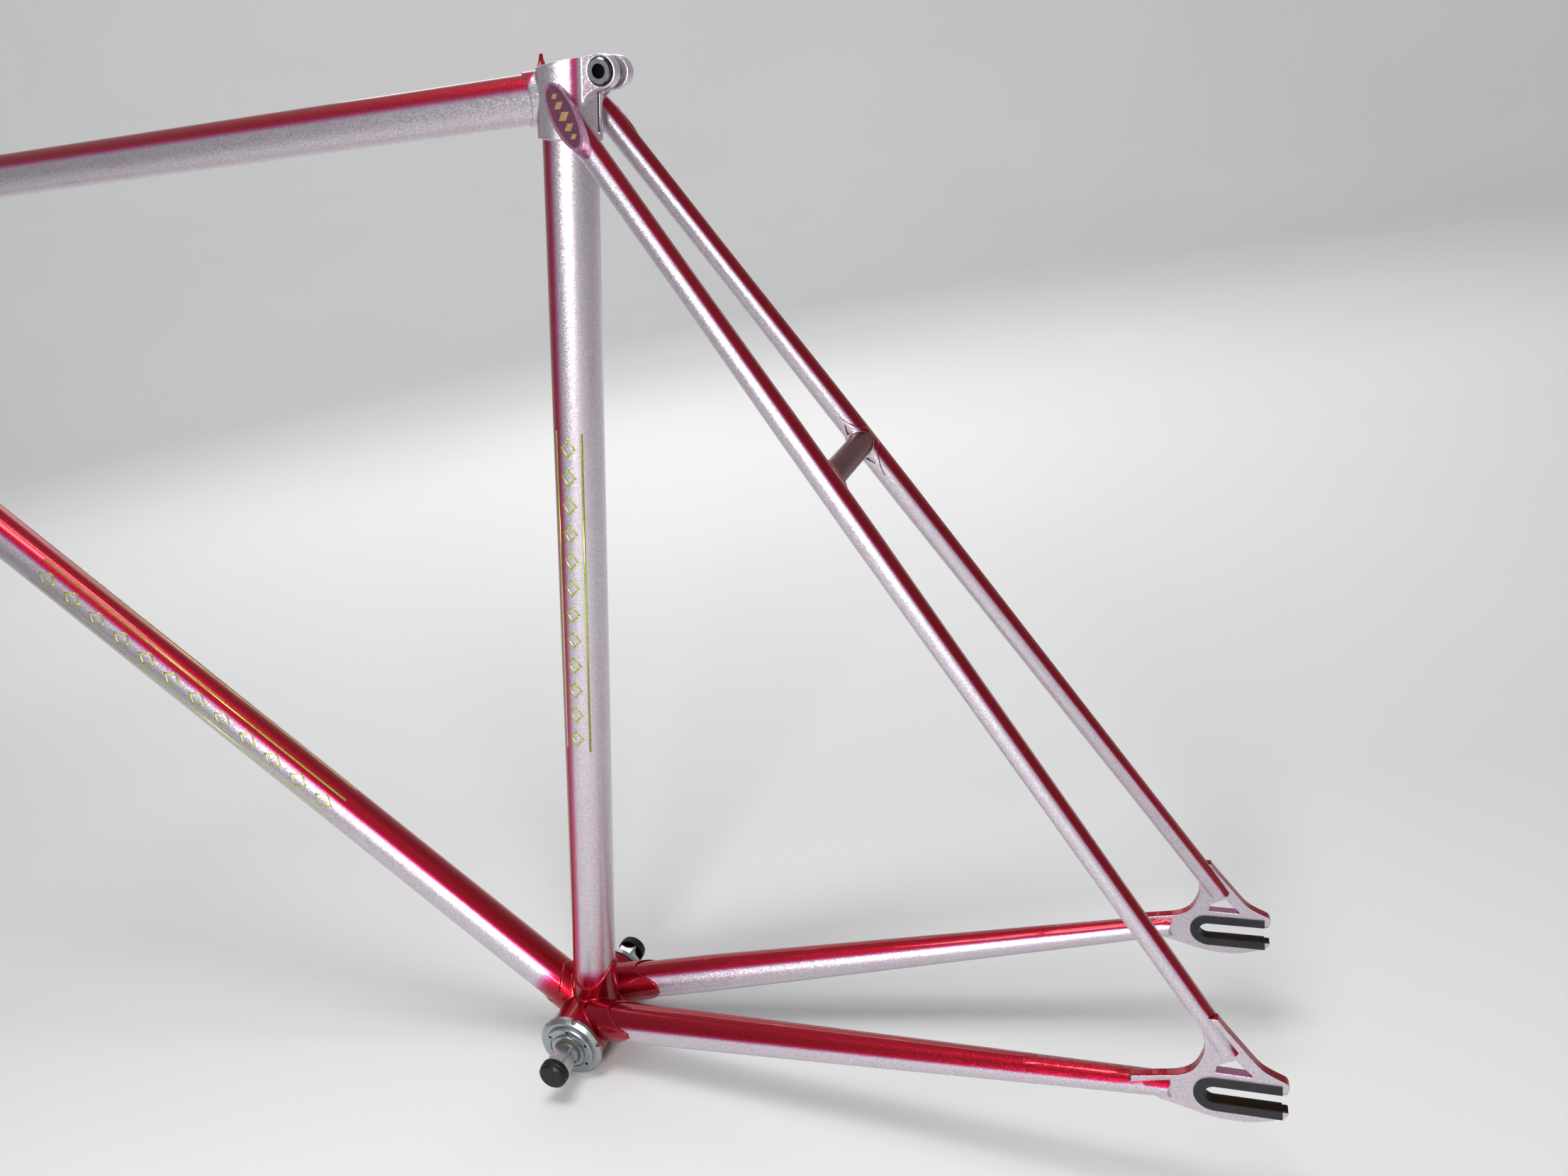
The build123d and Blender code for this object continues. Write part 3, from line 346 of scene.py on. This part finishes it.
def tube_mesh(bm, start, end, outer, inner, count=72):
    """A closed pipe."""
    along = (end - start).normalized()
    u = along.orthogonal().normalized()
    v = along.cross(u)
    loops = []
    for at, r in ((start, outer), (end, outer), (end, inner), (start, inner)):
        loops.append([bm.verts.new(at + (u * cos(2 * pi * k / count) + v * sin(2 * pi * k / count)) * r)
                      for k in range(count)])
    ring_faces(bm, loops + loops[:1])


def softened(node, voxel, rounds, mat, stubs=()):
    """The painted look of a part: its CAD shape with edges rounded and its joints filled as paint does."""
    bm = bmesh.new()
    bm.from_mesh(nodes[node].data)
    for stub in stubs:
        tube_mesh(bm, *stub)
    o = add_piece(node + "_painted", bm, mat)
    o.modifiers.new("skin", "REMESH").mode = "VOXEL"
    o.modifiers["skin"].voxel_size = voxel
    m = o.modifiers.new("flow", "SMOOTH")
    m.factor, m.iterations = 0.5, rounds
    mesh = bpy.data.meshes.new_from_object(o.evaluated_get(bpy.context.evaluated_depsgraph_get()))
    o.modifiers.clear()
    o.data = mesh
    mesh.shade_smooth()
    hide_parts(node)


def wrapped(bm, along, side, lines, width, sunk=0.00012, proud=0.00007):
    """Thin strips on a tube from the origin. Points are (along, around) in metres, around from the side."""
    turn = along.cross(side).normalized()
    if turn.dot(Vector((1, 0, 1))) < 0:
        turn = -turn
    overrun, step = width * 0.42, 0.0012

    def place(p, r):
        a = p[1] / TUBE_R
        return along * p[0] + (side * cos(a) + turn * sin(a)) * r
    for line in lines:
        for p, q in zip(line, line[1:]):
            d = Vector((q[0] - p[0], q[1] - p[1])).normalized()
            off = Vector((-d.y, d.x)) * width / 2
            a, b = Vector(p) - d * overrun, Vector(q) + d * overrun
            steps = max(1, int(abs(b.y - a.y) / step))
            rows = []
            for k in range(steps + 1):
                c = a.lerp(b, k / steps)
                rows.append([bm.verts.new(place(c + o * off, TUBE_R + h))
                             for o, h in ((-1, -sunk), (-1, proud), (1, proud), (1, -sunk))])
            ring_faces(bm, rows)
            bm.faces.new(rows[0][::-1])
            bm.faces.new(rows[-1])


def diamond(s, a, length, width):
    """A closed four-sided outline centred at s along and a around."""
    pts = [(s - length / 2, a), (s, a + width / 2), (s + length / 2, a), (s, a - width / 2)]
    return pts + pts[:1]


def motif(low, high, edge, count=12):
    """A generic band: two straight pinstripes with a row of equal diamonds between them."""
    stripes = [[(low, a), (high, a)] for a in (-edge, edge)]
    pitch = (high - low) / count
    marks = [diamond(low + pitch * (k + 0.5), 0.0, pitch * 0.6, edge) for k in range(count)]
    return stripes, marks


s = Shade("gold_outline")
mats["gold"] = s.set(Base_Color=s.mottled((0.50, 0.58, 0.07), 420.0, 0.75, 1.15), Metallic=0.75,
                     Roughness=0.30, Coat_Weight=1.0)
s = Shade("cap_gold")
mats["cap_gold"] = s.set(Base_Color=s.mottled((0.62, 0.40, 0.16), 900.0, 0.75, 1.15), Metallic=0.7,
                         Roughness=0.35, Coat_Weight=1.0)
for side, word in SIDES:
    left = Vector((0, side, 0))
    bm = bmesh.new()
    stripes, marks = motif(0.220, 0.425, 0.0082)
    wrapped(bm, ST, left, stripes, 0.0014)
    wrapped(bm, ST, left, marks, 0.0011)
    add_piece("seat_tube_motif_" + word, bm, mats["gold"])
    bm = bmesh.new()
    stripes, marks = motif(0.228, 0.505, 0.0090)
    middle = (left * cos(radians(29)) + across(DT, UP) * sin(radians(29))).normalized()
    wrapped(bm, DT, middle, stripes, 0.0013)
    wrapped(bm, DT, middle, marks, 0.0010)
    add_piece("down_tube_motif_" + word, bm, mats["gold"])

for side, word in SIDES:
    bm = bmesh.new()
    centre = (CAP[side][0] + CAP[side][1]) * 0.5
    long = (CAP[side][0] - CAP[side][1]).normalized()
    wide = CAP_FACE[side].cross(long).normalized()
    for at, size in ((0.0122, 0.0014), (0.0066, 0.0020), (0.0, 0.0024), (-0.0066, 0.0020), (-0.0122, 0.0014)):
        corners = [centre + long * (at + size * 1.1 * cos(pi * k / 2)) + wide * (size * 1.5 * sin(pi * k / 2))
                   for k in range(4)]
        low_loop, top_loop = ([bm.verts.new(p + CAP_FACE[side] * h) for p in corners]
                              for h in (-0.00075, -0.0005))
        bm.faces.new(low_loop[::-1])
        bm.faces.new(top_loop)
        ring_faces(bm, (low_loop, top_loop))
    add_piece("cap_lozenges_" + word, bm, mats["cap_gold"], smooth=False)

shell_stubs = [(ST * 0.019, ST * 0.058, 0.01424, 0.0120), (DT * 0.019, DT * 0.056, 0.01424, 0.0120)]
for side, word in SIDES:
    front, rear = CHAIN[side]
    d = (rear - front).normalized()
    shell_stubs.append((front, front + d * 0.014, 0.01194, 0.0100))
softened("bottom_bracket_shell", 0.00045, 6, mats["shell"], shell_stubs)
softened("seat_lug", 0.00035, 5, mats["lug"], [(NODE + TT * 0.014, NODE + TT * 0.037, 0.01264, 0.0110),
                                               (ST * 0.572, ST * 0.5815, 0.01424, 0.0128)])
for side, word in SIDES:
    softened(word + "_dropout", 0.00030, 5, mats[word + "_dropout"])
    softened(word + "_bridge_point", 0.00022, 3, mats[word + "_point"])

# ------------------------------------------------------------ floor, lights, camera
FLOOR = -0.0224              # the underside of the shell
# A flat disc that curves up into a wall, drawn as rings around its centre.
FLAT_R, CURVE_R, WALL_TOP, AROUND = 4.0, 2.0, 4.0, 96
profile = [(r, 0.0) for r in (1.0, 2.0, 3.0, FLAT_R)]
profile += [(FLAT_R + CURVE_R * sin(a), CURVE_R - CURVE_R * cos(a))
            for a in (radians(7.5 * k) for k in range(1, 13))]
profile += [(FLAT_R + CURVE_R, WALL_TOP)]
bm = bmesh.new()
centre = bm.verts.new((0, 0, FLOOR))
rings = [[bm.verts.new((r * cos(2 * pi * k / AROUND), r * sin(2 * pi * k / AROUND), FLOOR + z))
          for k in range(AROUND)] for r, z in profile]
for k in range(AROUND):
    bm.faces.new((centre, rings[0][k], rings[0][(k + 1) % AROUND]))
for a, b in zip(rings, rings[1:]):
    for k in range(AROUND):
        n = (k + 1) % AROUND
        bm.faces.new((a[k], b[k], b[n], a[n]))
mesh = bpy.data.meshes.new("studio_floor")
bm.to_mesh(mesh)
bm.free()
mesh.shade_smooth()
s = Shade("studio_floor")
mesh.materials.append(s.set(Base_Color=s.mottled((0.74, 0.74, 0.73), 1.2, 0.98, 1.02), Roughness=0.9))
floor = bpy.data.objects.new("studio_floor", mesh)
bpy.context.scene.collection.objects.link(floor)


def lamp(name, at, aim, size, power):
    light = bpy.data.lights.new(name, "AREA")
    light.shape, light.size, light.size_y = "RECTANGLE", size[0], size[1]
    light.energy = power
    o = bpy.data.objects.new(name, light)
    o.location = at
    o.rotation_euler = (Vector(aim) - Vector(at)).to_track_quat("-Z", "Y").to_euler()
    bpy.context.scene.collection.objects.link(o)


lamp("key", (0.28, -1.22, 0.60), (0.0, 0.0, 0.30), (0.42, 0.34), 12.5)
lamp("overhead", (0.10, -0.15, 2.2), (0.0, 0.0, 0.2), (1.1, 0.7), 24)
lamp("back", (-0.9, 2.0, 1.5), (0.0, 0.0, 0.3), (1.2, 1.0), 6)
lamp("wall", (-0.8, 1.0, 2.6), (-1.6, 6.0, 1.0), (4.0, 2.4), 95)
world = bpy.data.worlds.new("studio")
world.use_nodes = True
world.node_tree.nodes["Background"].inputs[0].default_value = (0.93, 0.95, 1.0, 1)
world.node_tree.nodes["Background"].inputs[1].default_value = 0.32
bpy.context.scene.world = world

cam = bpy.data.cameras.new("camera")
cam.sensor_width, cam.lens = 36.0, 25.821
cam.shift_x, cam.shift_y = 0.00184, -0.04451
cam.clip_start, cam.clip_end = 0.01, 60
camera = bpy.data.objects.new("camera", cam)
right, down, ahead = (Vector(v) for v in ((0.934055, 0.310527, -0.176392), (-0.064926, -0.338032, -0.938892),
                                          (-0.351177, 0.888430, -0.295580)))
camera.matrix_world = Matrix.Translation((0.421733, -0.545862, 0.533487)) @ Matrix(
    (right, -down, -ahead)).transposed().to_4x4()
bpy.context.scene.collection.objects.link(camera)
bpy.context.scene.camera = camera

bpy.context.scene.view_settings.view_transform = "Standard"
